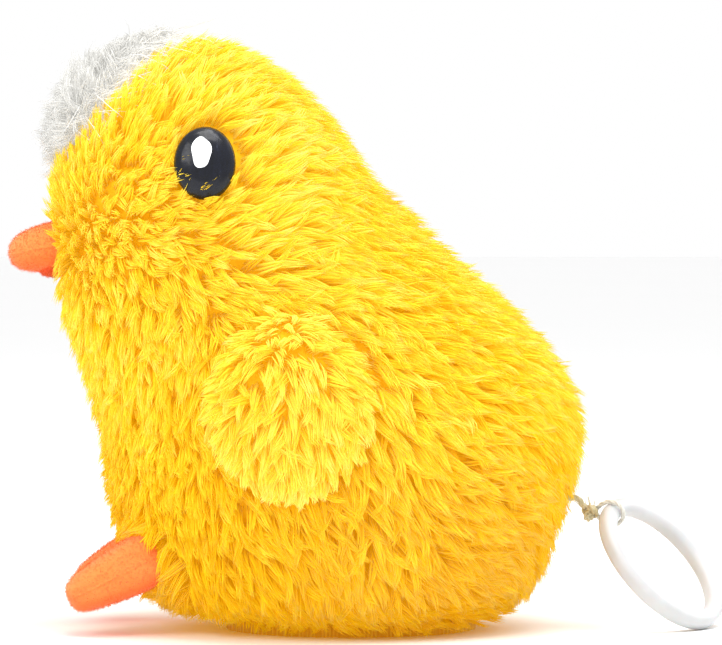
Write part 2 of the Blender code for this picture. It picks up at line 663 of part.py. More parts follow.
# ------------------------------------------------------------ cord and ring
def make_cord():
    leaves = sqrt((WINDING_R[1] + CORD_R + GAP) ** 2 - CORD_LINE_R ** 2)
    start = DRUM_AXIS.y + leaves
    points = [Vector((0, y, CORD_HEIGHT)) for y in np.linspace(start, EYELET_FACE_Y, 14)]
    points += [Vector((0, *p)) for p in CORD_TAIL]
    wire("pull_cord", points, CORD_R, "cord")

    bore = CORD_R + GAP
    profile = [(EYELET_FLANGE_R, 0.0), (EYELET_FLANGE_R, -EYELET_FLANGE), (EYELET_R, -EYELET_FLANGE),
               (EYELET_R, -EYELET_LENGTH), (bore, -EYELET_LENGTH), (bore, 0.0)]
    turned("cord_eyelet", profile, along((0, 1, 0), (0, EYELET_FACE_Y, CORD_HEIGHT)), "ring", 20)

    ellipsoid("cord_knot", (KNOT_R, KNOT_R, KNOT_HALF_HEIGHT), Matrix.Translation(KNOT_AT),
              "cord", 12, 8)

    # the ring hangs in a loop of the cord and leans out of the cord's plane
    across = Matrix.Rotation(pi / 2 - RING_LEAN, 3, RING_DOWN) @ Vector((1, 0, 0))
    normal = RING_DOWN.cross(across).normalized()
    band = wire("pull_ring", [RING_DOWN * RING_R + RING_R * (cos(t) * RING_DOWN + sin(t) * across)
                              for t in np.linspace(0, 2 * pi, 32, endpoint=False)],
                RING_BAND_R, "ring", True)
    band.matrix_world = Matrix.Translation(RING_TOP)
    wire("cord_loop", [RING_TOP + LOOP_R * (cos(t) * RING_DOWN + sin(t) * normal)
                       for t in np.linspace(0, 2 * pi, 16, endpoint=False)], LOOP_CORD_R, "cord", True)


make_skin()
make_base()
make_stuffing()
near_skin = add_object("near_skin", skin_mesh("near_skin", GAP), None)
make_face(near_skin)
make_limbs(near_skin)
make_train()
make_housing()
make_cord()
bpy.context.view_layer.update()
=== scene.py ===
# Looks of the pull-cord hopping chick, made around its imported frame.
# Metres, +Z up. The chick faces -Y and its left side is +X.
import json
import math

import bmesh
import bpy
import numpy as np
from mathutils import Matrix, Vector
from mathutils.bvhtree import BVHTree


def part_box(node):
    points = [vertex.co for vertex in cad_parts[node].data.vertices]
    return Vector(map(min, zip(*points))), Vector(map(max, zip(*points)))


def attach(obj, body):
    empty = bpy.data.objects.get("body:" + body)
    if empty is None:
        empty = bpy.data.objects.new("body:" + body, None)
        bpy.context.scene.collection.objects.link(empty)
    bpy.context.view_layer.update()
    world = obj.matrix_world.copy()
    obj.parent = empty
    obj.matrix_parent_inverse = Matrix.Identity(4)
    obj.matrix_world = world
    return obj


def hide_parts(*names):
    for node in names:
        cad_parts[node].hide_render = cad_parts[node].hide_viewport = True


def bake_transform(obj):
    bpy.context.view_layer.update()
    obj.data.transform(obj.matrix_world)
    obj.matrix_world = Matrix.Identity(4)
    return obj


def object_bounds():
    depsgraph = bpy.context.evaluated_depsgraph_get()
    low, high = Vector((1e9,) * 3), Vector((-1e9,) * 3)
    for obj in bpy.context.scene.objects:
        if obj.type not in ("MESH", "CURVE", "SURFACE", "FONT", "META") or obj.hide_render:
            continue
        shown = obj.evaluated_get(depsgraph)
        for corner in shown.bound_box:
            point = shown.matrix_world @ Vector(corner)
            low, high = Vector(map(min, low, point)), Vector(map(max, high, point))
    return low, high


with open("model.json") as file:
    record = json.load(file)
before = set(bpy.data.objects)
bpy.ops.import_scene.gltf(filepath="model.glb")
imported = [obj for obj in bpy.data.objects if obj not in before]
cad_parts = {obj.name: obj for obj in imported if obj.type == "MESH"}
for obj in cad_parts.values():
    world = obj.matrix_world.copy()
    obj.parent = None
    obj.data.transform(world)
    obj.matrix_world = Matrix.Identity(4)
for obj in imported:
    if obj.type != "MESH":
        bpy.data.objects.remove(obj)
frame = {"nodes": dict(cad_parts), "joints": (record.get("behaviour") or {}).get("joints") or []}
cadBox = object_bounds()
nodes = frame["nodes"]


class Flow:
    # one socket of a material, so that shader maths reads as plain sums
    def __init__(self, look, socket):
        self.look = look
        self.socket = socket

    def join(self, operation, other, swapped=False):
        first, second = (other, self) if swapped else (self, other)
        return self.look.node("ShaderNodeMath", {"operation": operation}, {0: first, 1: second})

    def __add__(self, other):
        return self.join("ADD", other)

    def __radd__(self, other):
        return self.join("ADD", other, True)

    def __sub__(self, other):
        return self.join("SUBTRACT", other)

    def __rsub__(self, other):
        return self.join("SUBTRACT", other, True)

    def __mul__(self, other):
        return self.join("MULTIPLY", other)

    def __rmul__(self, other):
        return self.join("MULTIPLY", other, True)


class Look:
    # one material: its Principled shader and the nodes that feed it
    def __init__(self, name, **fixed):
        self.material = bpy.data.materials.new(name)
        self.material.use_nodes = True
        self.tree = self.material.node_tree
        self.shader = self.tree.nodes["Principled BSDF"]
        for socket, value in fixed.items():
            self.shader.inputs[socket.replace("_", " ")].default_value = value

    def node(self, kind, settings=None, sockets=None, output=0):
        made = self.tree.nodes.new(kind)
        for key, value in (settings or {}).items():
            if key == "stops":
                ramp = made.color_ramp.elements
                while len(ramp) < len(value):
                    ramp.new(1.0)
                for stop, (place, colour) in zip(ramp, value):
                    stop.position = place
                    stop.color = colour
            else:
                setattr(made, key, value)
        for key, value in (sockets or {}).items():
            self.feed(made.inputs[key], value)
        return Flow(self, made.outputs[output])

    def feed(self, socket, value):
        if isinstance(value, Flow):
            self.tree.links.new(value.socket, socket)
        else:
            socket.default_value = value

    def set(self, socket, value):
        self.feed(self.shader.inputs[socket], value)

    def place(self, name="Object"):
        return self.node("ShaderNodeTexCoord", output=name)

    def noise(self, scale, detail=3.0, rough=0.55, at=None, stretch=None):
        where = at or self.place()
        if stretch:
            where = self.node("ShaderNodeVectorMath", {"operation": "MULTIPLY"},
                              {0: where, 1: stretch})
        return self.node("ShaderNodeTexNoise", {},
                         {"Vector": where, "Scale": scale, "Detail": detail, "Roughness": rough},
                         output="Fac")

    def ramp(self, factor, *stops):
        return self.node("ShaderNodeValToRGB", {"stops": stops}, {"Fac": factor})

    def mix(self, factor, first, second):
        return self.node("ShaderNodeMix", {"data_type": "RGBA"}, {0: factor, 6: first, 7: second}, 2)

    def bump(self, height, strength, distance):
        self.set("Normal", self.node("ShaderNodeBump", {}, {"Strength": strength, "Distance": distance,
                                                           "Height": height}))


def rgb(red, green, blue):
    # a colour as it looks on a screen, 0 to 255, made linear
    def linear(value):
        value /= 255
        return value / 12.92 if value <= 0.04045 else ((value + 0.055) / 1.055) ** 2.4
    return linear(red), linear(green), linear(blue), 1.0


def unit(vectors):
    return vectors / np.maximum(np.linalg.norm(vectors, axis=-1, keepdims=True), 1e-12)


def smooth(value, low, high):
    share = np.clip((value - low) / (high - low), 0, 1)
    return share * share * (3 - 2 * share)


def finishPiece(obj, look, body, replaced=()):
    # a piece with no body is left unattached
    obj.data.materials.append(look.material)
    if body:
        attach(obj, body)
    if replaced:
        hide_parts(*replaced)
    return obj


def boxOf(name):
    low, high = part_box(name)
    return np.array(low), np.array(high)


def middleOf(name, shift=(0, 0, 0)):
    # the middle of a frame node to a tenth of a millimetre, moved by a little
    low, high = boxOf(name)
    return np.round((low + high) / 2, 4) + shift


def turnedX(degrees):
    return np.array(Matrix.Rotation(math.radians(degrees), 3, "X"))


def ballMesh(divisions):
    # points, faces and edges of a ball of radius 1 made of even triangles
    ball = bmesh.new()
    bmesh.ops.create_icosphere(ball, subdivisions=divisions, radius=1.0)
    points = np.array([v.co for v in ball.verts])
    faces = np.array([[v.index for v in f.verts] for f in ball.faces])
    edges = np.array([[v.index for v in e.verts] for e in ball.edges])
    ball.free()
    return points, faces, edges


def pieceFrom(name, points, faces, tones=None, sharp=None):
    data = bpy.data.meshes.new(name)
    points = np.asarray(points, dtype=np.float32)
    if isinstance(faces, np.ndarray):
        data.vertices.add(len(points))
        data.vertices.foreach_set("co", points.ravel())
        size = faces.shape[1]
        data.loops.add(faces.size)
        data.loops.foreach_set("vertex_index", faces.astype(np.int32).ravel())
        data.polygons.add(len(faces))
        data.polygons.foreach_set("loop_start", np.arange(0, faces.size, size, dtype=np.int32))
        data.update(calc_edges=True)
    else:
        data.from_pydata(points.tolist(), [], faces)
    if tones is not None:
        layer = data.attributes.new("tone", "FLOAT", "POINT")
        layer.data.foreach_set("value", np.asarray(tones, dtype=np.float32))
    data.shade_smooth()
    if sharp:
        data.set_sharp_from_angle(angle=math.radians(sharp))
    obj = bpy.data.objects.new(name, data)
    bpy.context.scene.collection.objects.link(obj)
    return obj


# camera, lights and floor
view = {"width": 0.1444, "distance": 0.95, "aim": (0.0, 0.0012, 0.0611), "lift": 1.5, "turn": 0.0}
skyStrength = 1.0
# each lamp's watts, its side and its place; all point at lampAim
lamps = {"top": (4.6, 0.5, (0.15, 0.10, 0.75)), "key": (2.4, 0.45, (0.60, -0.45, 0.55)),
         "rim": (1.2, 0.4, (-0.50, 0.60, 0.45))}
lampAim = (0, 0, 0.05)


def makeStage():
    scene = bpy.context.scene
    scene.view_settings.view_transform = "Standard"
    camera = bpy.data.objects.new("camera", bpy.data.cameras.new("camera"))
    scene.collection.objects.link(camera)
    lift, turn = math.radians(view["lift"]), math.radians(view["turn"])
    aim = Vector(view["aim"])
    away = Vector((math.cos(lift) * math.cos(turn), -math.cos(lift) * math.sin(turn), math.sin(lift)))
    camera.location = aim + away * view["distance"]
    camera.rotation_euler = (-away).to_track_quat("-Z", "Y").to_euler()
    camera.data.lens = camera.data.sensor_width * view["distance"] / view["width"]
    camera.data.clip_end = 20
    scene.camera = camera

    world = bpy.data.worlds.new("studio")
    world.use_nodes = True
    sky = world.node_tree.nodes["Background"]
    sky.inputs["Color"].default_value = (1.0, 1.0, 1.0, 1.0)
    sky.inputs["Strength"].default_value = skyStrength
    scene.world = world
    for name, (watts, size, spot) in lamps.items():
        lamp = bpy.data.lights.new(name, "AREA")
        lamp.energy = watts
        lamp.size = size
        made = bpy.data.objects.new(name, lamp)
        made.location = spot
        made.rotation_euler = (Vector(lampAim) - Vector(spot)).to_track_quat("-Z", "Y").to_euler()
        scene.collection.objects.link(made)

    bpy.ops.mesh.primitive_plane_add(size=12, location=(0, 0, 0))
    floor = bpy.context.active_object
    floor.name = "floor"
    pale = Look("pale_floor", Roughness=0.8)
    pale.set("Base Color", pale.mix(pale.noise(3.0), rgb(250, 250, 250), rgb(252, 252, 252)))
    floor.data.materials.append(pale.material)


makeStage()
print("stage set")


# the pull cord, its knot and loop, and the ring
cordRoute = [(0.0, 0.0101, 0.0260), (0.0, 0.0200, 0.0260), (0.0, 0.0300, 0.0260), (0.0, 0.0400, 0.0260),
             (0.0, 0.0430, 0.0260), (0.0, 0.0440, 0.0260), (0.0, 0.0445, 0.0259), (0.0, 0.0449, 0.0256),
             (0.0, 0.0452, 0.0252), (0.0, 0.0454, 0.0248), (0.0, 0.0462, 0.0240)]
cord = {"radius": 0.00065, "strands": 3, "twist": 0.0042, "spots": 90}
knot = {"middle": (0.0, 0.0471, 0.0231), "size": 1.25, "yarn": 0.00058, "lean": (70, 25), "fray": 15,
        "hair": 0.00013, "hairLength": (0.0020, 0.0044)}
loop = {"radius": 0.0025, "yarn": 0.00050, "point": 0.0034}
ring = {"top": (0.0, 0.0513, 0.0229), "radius": 0.0142, "halfWidth": 0.0018, "halfDepth": 0.0017,
        "sides": 28, "steps": 144, "corner": 0.78, "seam": 0.035, "seamWidth": 0.00016}
# the ring lies in a plane that slopes down from the tail and is turned a little aside
ringDown = unit(np.array([0.0, 1.0, -1.0]))
ringAcross = unit(np.array([0.906308, -0.298836, -0.298836]))
ringNormal = np.cross(ringDown, ringAcross)


def smoothPath(points, count):
    # evenly spaced spots on a smooth curve through the given points
    points = np.asarray(points, float)
    ends = np.concatenate([[2 * points[0] - points[1]], points, [2 * points[-1] - points[-2]]])
    fine = []
    for i in range(1, len(ends) - 2):
        t = np.linspace(0, 1, 24, endpoint=False)[:, None]
        a, b, c, d = ends[i - 1:i + 3]
        fine.append(0.5 * (2 * b + (c - a) * t + (2 * a - 5 * b + 4 * c - d) * t ** 2
                           + (3 * b - a - 3 * c + d) * t ** 3))
    fine = np.concatenate(fine + [points[-1:]])
    run = np.concatenate([[0], np.cumsum(np.linalg.norm(np.diff(fine, axis=0), axis=1))])
    at = np.linspace(0, run[-1], count)
    return np.stack([np.interp(at, run, fine[:, k]) for k in range(3)], axis=1)


def tubeAlong(path, radii, sides=8, closed=False, up=(1.0, 0.0, 0.0)):
    # points and faces of a tube, capped at its ends unless it closes on itself
    path = np.asarray(path, float)
    count = len(path)
    ahead = np.roll(path, -1, 0) - np.roll(path, 1, 0)
    if not closed:
        ahead[0], ahead[-1] = path[1] - path[0], path[-1] - path[-2]
    ahead = unit(ahead)
    side = np.asarray(up, float) + 0 * ahead
    side = unit(side - ahead * (side * ahead).sum(axis=1, keepdims=True))
    over = np.cross(ahead, side)
    radii = np.broadcast_to(np.asarray(radii, float), (count,))[:, None, None]
    spin = np.linspace(0, 2 * np.pi, sides, endpoint=False)[None, :, None]
    points = path[:, None] + radii * (np.cos(spin) * side[:, None] + np.sin(spin) * over[:, None])
    faces = []
    for i in range(count if closed else count - 1):
        j = (i + 1) % count
        for k in range(sides):
            m = (k + 1) % sides
            faces.append((i * sides + k, i * sides + m, j * sides + m, j * sides + k))
    if not closed:
        faces.append(tuple(range(sides))[::-1])
        faces.append(tuple((count - 1) * sides + k for k in range(sides)))
    return points.reshape(-1, 3), faces


def joined(parts):
    points, faces = [], []
    for some, theirs in parts:
        start = sum(len(p) for p in points)
        points.append(some)
        faces += [tuple(start + i for i in face) for face in theirs]
    return np.concatenate(points), faces


def twine(path, radius, sides=8, closed=False, up=(1.0, 0.0, 0.0)):
    # three yarns laid round each other along a path
    path = np.asarray(path, float)
    run = np.concatenate([[0], np.cumsum(np.linalg.norm(np.diff(path, axis=0), axis=1))])
    ahead = unit(np.gradient(path, axis=0))
    side = np.asarray(up, float) + 0 * ahead
    side = unit(side - ahead * (side * ahead).sum(axis=1, keepdims=True))
    over = np.cross(ahead, side)
    turns = max(1, round(run[-1] / cord["twist"])) if closed else run[-1] / cord["twist"]
    parts = []
    for k in range(cord["strands"]):
        spin = (2 * np.pi * (turns * run / run[-1] + k / cord["strands"]))[:, None]
        yarn = path + 0.46 * radius * (np.cos(spin) * side + np.sin(spin) * over)
        parts.append(tubeAlong(yarn[:-1] if closed else yarn, 0.52 * radius, sides, closed, up))
    return joined(parts)


def makeTwineLook(name, deep, middle, light):
    look = Look(name, Roughness=0.85, Specular_IOR_Level=0.2, Sheen_Weight=0.3)
    fibre = look.noise(1500.0, 4.0, 0.7)
    grime = look.noise(260.0, 2.0)
    blend = fibre * 0.5 + grime * 0.5
    look.set("Base Color", look.ramp(blend, (0.3, deep), (0.5, middle), (0.7, light)))
    look.bump(fibre, 0.5, 0.0002)
    return look


tanTwine = makeTwineLook("tan_twine", rgb(172, 162, 124), rgb(200, 192, 158), rgb(222, 216, 194))
whiteTwine = makeTwineLook("white_twine", rgb(196, 192, 178), rgb(212, 210, 200), rgb(224, 223, 216))


def makeRingLook():
    look = Look("white_ring_plastic", IOR=1.46, Subsurface_Weight=0.15, Subsurface_Scale=0.002)
    flow = look.noise(90.0, 3.0)
    scuff = look.noise(700.0, 4.0, 0.7, stretch=(1.0, 0.3, 1.0))
    look.set("Base Color", look.ramp(flow, (0.3, rgb(184, 186, 187)), (0.7, rgb(200, 202, 203))))
    look.set("Roughness", scuff * 0.25 + 0.28)
    look.bump(scuff, 0.15, 0.0001)
    return look


def makeCord():
    path = smoothPath(cordRoute, cord["spots"])
    points, faces = twine(path, cord["radius"])
    piece = pieceFrom("twisted_cord", points, faces)
    finishPiece(piece, tanTwine, None, ["pull_cord"])
    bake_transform(piece)


def makeKnot():
    # an overhand knot, with its ends frayed out
    rng = np.random.default_rng(5)
    turn = np.linspace(0, 2 * np.pi, 73)
    bend = np.stack([0.00036 * (np.sin(turn) + 2 * np.sin(2 * turn)),
                     0.00036 * (np.cos(turn) - 2 * np.cos(2 * turn)),
                     -0.0006 * np.sin(3 * turn)], axis=1)
    leanX, leanY = (math.radians(angle) for angle in knot["lean"])
    lean = np.array(Matrix.Rotation(leanX, 3, "X") @ Matrix.Rotation(leanY, 3, "Y"))
    middle = np.array(knot["middle"])
    bend = bend @ lean.T * knot["size"] + middle
    parts = [twine(bend, knot["yarn"] * knot["size"], 6, True, (0.3, 0.5, 0.8))]
    t = np.linspace(0, 1, 9)[:, None]
    for _ in range(knot["fray"]):
        start = middle + rng.uniform(-0.0005, 0.0005, 3) + (0, 0, 0.0004)
        way = unit(np.array([rng.normal(0, 0.5), rng.uniform(-1.0, 0.6), rng.uniform(0.2, 1.2)]))
        curl = unit(rng.normal(size=3)) * 0.0009
        reach = rng.uniform(*knot["hairLength"])
        hair = start + way * reach * t + curl * t ** 2
        parts.append(tubeAlong(hair, knot["hair"] * (1 - 0.75 * t[:, 0]), 5))
    points, faces = joined(parts)
    finishPiece(pieceFrom("frayed_knot", points, faces), tanTwine, "pull_knot", ["cord_knot"])


def makeLoop():
    # the loop that carries the ring, drawn to a point at the knot
    top = np.array(ring["top"])
    towards = np.array(knot["middle"]) - top
    turn = np.linspace(0, 2 * np.pi, 61)[:, None]
    spots = loop["radius"] * (np.cos(turn) * ringDown + np.sin(turn) * ringNormal)
    pull = np.clip((unit(spots) * unit(towards)).sum(axis=1), 0, 1) ** 5
    spots = spots + pull[:, None] * (towards - unit(towards) * loop["point"])
    points, faces = twine(top + spots, loop["yarn"], 6, True, ringAcross)
    finishPiece(pieceFrom("ring_loop", points, faces), whiteTwine, "pull_knot", ["cord_loop"])


def makeRing():
    # a moulded band with rounded corners and a faint parting line
    sides, steps, radius = ring["sides"], ring["steps"], ring["radius"]
    centre = np.array(ring["top"]) + ringDown * radius
    spin = np.linspace(0, 2 * np.pi, sides, endpoint=False)
    c, s = np.cos(spin), np.sin(spin)
    wide = np.sign(c) * np.abs(c) ** ring["corner"] * ring["halfWidth"]
    deep = np.sign(s) * np.abs(s) ** ring["corner"] * ring["halfDepth"]
    wide = wide * (1 - ring["seam"] * np.exp(-(deep / ring["seamWidth"]) ** 2))
    turn = np.linspace(0, 2 * np.pi, steps, endpoint=False)[:, None]
    out = np.cos(turn) * ringDown + np.sin(turn) * ringAcross
    points = centre + out[:, None] * (radius + wide[None, :, None]) + deep[None, :, None] * ringNormal
    faces = []
    for i in range(steps):
        for k in range(sides):
            j, m = (i + 1) % steps, (k + 1) % sides
            faces.append((i * sides + k, i * sides + m, j * sides + m, j * sides + k))
    piece = pieceFrom("moulded_ring", points.reshape(-1, 3), faces)
    finishPiece(piece, makeRingLook(), "ring", ["pull_ring"])


makeCord()
makeKnot()
makeLoop()
makeRing()
print("cord and ring made")


# soft forms wrapped round the frame's own solids
def solidTree(*names):
    points, faces = [], []
    for name in names:
        data = nodes[name].data
        start = len(points)
        points += [v.co.copy() for v in data.vertices]
        faces += [[start + i for i in p.vertices] for p in data.polygons]
    return BVHTree.FromPolygons(points, faces)


def wrapSolid(names, centre, divisions, inset, passes):
    # a smooth skin seen from one point inside, drawn in by a little
    rays, faces, edges = ballMesh(divisions)
    tree = solidTree(*names)
    centre = Vector(centre)
    reach = np.zeros(len(rays))
    for i, ray in enumerate(rays):
        ray = Vector(ray)
        hit = tree.ray_cast(centre + ray * 0.3, -ray)
        reach[i] = (hit[0] - centre).length if hit[0] else 0.0
    counts = np.bincount(edges.ravel(), minlength=len(rays))
    missing = reach <= 0
    for _ in range(passes + 8 * int(missing.any())):
        total = np.zeros(len(rays))
        np.add.at(total, edges[:, 0], reach[edges[:, 1]])
        np.add.at(total, edges[:, 1], reach[edges[:, 0]])
        mean = total / counts
        reach = np.where(missing, mean, 0.5 * reach + 0.5 * mean)
    points = np.array(centre) + rays * reach[:, None]
    return points - vertexNormals(points, faces) * inset, faces


def vertexNormals(points, faces):
    a, b, c = (points[faces[:, i]] for i in range(3))
    flat = np.cross(b - a, c - a)
    total = np.zeros_like(points)
    for i in range(3):
        np.add.at(total, faces[:, i], flat)
    return unit(total)


def scatter(points, faces, spacing, rng):
    # spots spread over a skin, about one to each square of the spacing
    a, b, c = (points[faces[:, i]] for i in range(3))
    areas = np.linalg.norm(np.cross(b - a, c - a), axis=1) / 2
    count = int(areas.sum() / spacing ** 2 * 4)
    pick = rng.choice(len(faces), count, p=areas / areas.sum())
    u, v = rng.random(count), rng.random(count)
    over = u + v > 1
    u[over], v[over] = 1 - u[over], 1 - v[over]
    weights = np.stack([1 - u - v, u, v], axis=1)[:, :, None]
    spots = (points[faces[pick]] * weights).sum(axis=1)
    normals = unit((vertexNormals(points, faces)[faces[pick]] * weights).sum(axis=1))
    cells = np.floor(spots / spacing + 1000).astype(np.int64)
    keys = cells[:, 0] * 10 ** 8 + cells[:, 1] * 10 ** 4 + cells[:, 2]
    keep = np.unique(keys, return_index=True)[1]
    return spots[keep], normals[keep]


def growFur(name, spots, normals, flows, lengths, pelt, rng, tones=0.0, lift=0.0):
    # locks of tapered strands: each strand is a closed three-sided spike
    count, strands = len(spots), pelt["strands"]
    flows = unit(flows - normals * (flows * normals).sum(axis=1, keepdims=True))
    side = np.cross(normals, flows)
    turn = rng.normal(0, pelt["turn"], count)[:, None]
    flows, side = flows * np.cos(turn) + side * np.sin(turn), side * np.cos(turn) - flows * np.sin(turn)
    lockTone = rng.normal(0, pelt["lockTone"], count) + tones
    lean0 = pelt["leanRoot"] + rng.normal(0, pelt["rootStray"], count) - lift
    lean1 = pelt["leanTip"] + rng.normal(0, pelt["tipStray"], count) - lift
    curl = rng.normal(0, pelt["curl"], count)

    def perStrand(values):
        return np.repeat(values, strands, axis=0)

    total = count * strands
    spots, normals, flows, side = map(perStrand, (spots, normals, flows, side))
    lean0, lean1, curl = map(perStrand, (lean0, lean1, curl))
    lean1 = lean1 + rng.normal(0, pelt["strandStray"], total)
    length = perStrand(lengths) * rng.uniform(*pelt["lengths"], total)
    width = pelt["width"] * rng.uniform(*pelt["girths"], total)
    angle, far = rng.uniform(0, 2 * np.pi, total), np.sqrt(rng.random(total)) * pelt["spread"]
    offset = far[:, None] * (np.cos(angle)[:, None] * flows + np.sin(angle)[:, None] * side)
    tone = perStrand(lockTone) + rng.normal(0, pelt["strandTone"], total)

    rings = np.array(pelt["rings"])
    widths = np.array(pelt["widths"])
    bends = 12
    steps = np.linspace(0, 1, bends + 1)
    lean = lean0[:, None] + (lean1 - lean0)[:, None] * steps ** 0.8
    sweep = curl[:, None] * steps
    across = np.cos(sweep)[..., None] * flows[:, None] + np.sin(sweep)[..., None] * side[:, None]
    ways = np.cos(lean)[..., None] * normals[:, None] + np.sin(lean)[..., None] * across
    run = np.cumsum((ways[:, 1:] + ways[:, :-1]) / 2, axis=1)
    path = np.concatenate([np.zeros((total, 1, 3)), run], axis=1) / bends * length[:, None, None]
    gather = 1 - (1 - pelt["gather"]) * steps ** 1.2
    path = path + spots[:, None] + offset[:, None] * gather[None, :, None]

    at = rings * bends
    low = np.minimum(np.floor(at).astype(int), bends - 1)
    share = (at - low)[None, :, None]
    middle = path[:, low] * (1 - share) + path[:, low + 1] * share
    heading = unit(ways[:, low] * (1 - share) + ways[:, low + 1] * share)
    sideways = unit(np.cross(heading, np.cross(side[:, None] + 0 * heading, heading)))
    thick = np.cross(heading, sideways)
    corners = []
    for k in range(3):
        spin = 2 * np.pi * k / 3 + np.pi / 2
        corners.append(middle + (width[:, None] * widths[None, :])[..., None] / 2
                       * (np.cos(spin) * sideways + pelt["flat"] * np.sin(spin) * thick))
    corners = np.stack(corners, axis=2).reshape(total, -1, 3)
    points = np.concatenate([corners, path[:, -1:]], axis=1)
    points[..., 2] = np.maximum(points[..., 2], pelt["floor"])

    levels = len(rings)
    faces = [(0, 2, 1)]
    for i in range(levels - 1):
        for k in range(3):
            a, b = i * 3 + k, i * 3 + (k + 1) % 3
            faces += [(a, b, b + 3), (a, b + 3, a + 3)]
    top = (levels - 1) * 3
    faces += [(top + k, top + (k + 1) % 3, levels * 3) for k in range(3)]
    size = levels * 3 + 1
    faces = (np.array(faces)[None] + (np.arange(total) * size)[:, None, None]).reshape(-1, 3)
    along = np.append(np.repeat(rings, 3), 1.0)
    # each strand is painted darker at its root and lighter at its tip: painted shade down in the pile,
    # painted highlight at the tips
    tone = 0.5 + tone[:, None] + pelt["rootShade"] * (along[None, :] - 0.55)
    return pieceFrom(name, points.reshape(-1, 3), faces, np.clip(tone, 0, 1).ravel())


def furLook(name, paintedGlow, *stops):
    # the pile glows a little in its own colour: painted light that lifts the shade between strands,
    # standing in for light let through the pile
    look = Look(name, Roughness=0.75, Specular_IOR_Level=0.15, Sheen_Weight=0.15, Emission_Strength=paintedGlow)
    tone = look.node("ShaderNodeAttribute", {"attribute_name": "tone"}, output="Fac")
    patch = look.noise(60.0, 2.0)
    colour = look.ramp(tone + (patch - 0.5) * 0.25, *stops)
    look.set("Base Color", colour)
    look.set("Emission Color", colour)
    return look


yellowPile = furLook("yellow_pile", 0.37, (0.0, rgb(222, 170, 0)), (0.25, rgb(232, 187, 6)),
                     (0.55, rgb(240, 204, 40)), (1.0, rgb(245, 220, 100)))
palePile = furLook("pale_yellow_pile", 0.37, (0.0, rgb(232, 186, 12)), (0.3, rgb(238, 199, 34)),
                   (0.6, rgb(243, 210, 62)), (1.0, rgb(248, 225, 108)))
# the backing cloth is painted a deeper yellow, which is painted shade under the pile, and glows a little
# in that colour, which is painted light
backing = Look("pile_backing", Roughness=0.9, Emission_Strength=0.2)
backingShadeColour = backing.ramp(backing.noise(900.0), (0.3, rgb(228, 172, 0)), (0.7, rgb(238, 190, 14)))
backing.set("Base Color", backingShadeColour)
backing.set("Emission Color", backingShadeColour)
backing.bump(backing.noise(2600.0), 0.5, 0.0003)

# the soft parts stand here together, as the pile of the body makes room for the others
felt = {"seam": 0.00010, "pucker": 0.00007, "puckers": 34, "lump": 0.00016, "grain": 0.00005}
beakUpper = {"centre": middleOf("beak_upper", (0, 0.0042, 0.0001)), "half": (0.0076, 0.0094, 0.0048),
             "tilt": 12, "round": 2.5, "root": 1.0, "toe": 0.94}
beakLower = {"centre": middleOf("beak_lower", (0, 0.0025, 0.0021)), "half": (0.0050, 0.0048, 0.0024),
             "tilt": 16, "round": 2.3, "root": 1.0, "toe": 0.85}
foot = {"centre": middleOf("foot_left", (0, 0.0015, 0.0007)), "half": (0.0080, 0.0104, 0.0046),
        "tilt": 27, "round": 3.4, "root": 1.28, "toe": 0.90, "hides": 0.0098, "hideLength": 0.0078,
        "hideFlow": (0, -0.66, -0.75)}
eye = {"half": (0.0060, 0.0072), "domeRings": (20, 72), "domeReach": 0.985, "domeBack": 0.0016,
       "glint": (-0.0006, 0.0022), "glintHalf": (0.0019, 0.0030), "glintRings": (7, 40),
       "glintRise": 0.00022, "glintGap": 0.00004, "glintBack": 0.0003}
# round an eye, in parts of its half sizes: bare, then raised, then short
nearEye = {"bare": 0.97, "raised": 1.4, "short": 1.7, "length": 0.0068, "frontMore": 0.0008,
           "lift": 0.12, "frontLift": 0.24}
crest = {"centre": middleOf("crest_tuft", (0, 0.0017, -0.0004)), "half": (0.0155, 0.0190, 0.0080),
         "tilt": 49, "core": 0.80, "spacing": 0.0010, "length": 0.0050, "wisps": 1100,
         "wispLength": 0.0170}
body = {"centre": (0.0, -0.012, 0.056), "divisions": 5, "inset": 0.0012, "skin": 0.0012,
        "spacing": 0.0019, "frontLength": 0.0060, "backLength": 0.0084, "hemLength": 0.0066,
        "hemBelow": 0.012, "hemLift": 0.28, "underWing": 0.0030, "lowest": 0.0006,
        "patches": 0.09, "lowShadeBelow": 0.062, "lowShade": 0.52}
wing = {"spacing": 0.0019, "length": 0.0068, "rimLength": 0.0036, "insideLength": 0.0020,
        "inset": 0.0014, "neck": 0.62, "tuck": 0.0050, "sag": 0.0012, "presses": 0.93,
        "seamLocks": 150, "seamHalf": 0.0066, "seamLength": 0.0042}
# the seam between head and body rises from the throat to the back
neck = {"y": -0.058, "z": 0.060, "slope": 0.271}
# no pile grows where other parts sit; foot and crest are in parts of their half sizes
bare = {"beak": (0.0, -0.0595, 0.0760), "beakHalf": (0.0066, 0.010, 0.0062),
        "cord": (0.0, 0.0425, 0.0260), "cordRadius": 0.0032, "foot": 1.05, "crest": 0.90,
        "crestWave": 0.10, "baseBelow": 0.004, "baseMore": 0.0006}
# the pile is grown in bands: two on the head, and four on the body between these depths
crownAbove = 0.090
bodyBands = {"breast": (-1, -0.025), "flank": (-0.025, -0.001), "hip": (-0.001, 0.021),
             "rump": (0.021, 1)}
pelt = {"strands": 13, "turn": 0.30, "lockTone": 0.10, "strandTone": 0.045, "leanRoot": 0.45,
        "leanTip": 1.36, "curl": 0.40, "width": 0.00036, "spread": 0.0013, "gather": 0.42,
        "flat": 0.55, "rings": (0.0, 0.38, 0.74), "widths": (0.85, 1.0, 0.68), "rootShade": 0.32,
        "rootStray": 0.12, "tipStray": 0.16, "strandStray": 0.08, "lengths": (0.82, 1.12),
        "girths": (0.75, 1.2), "floor": 0.0003}


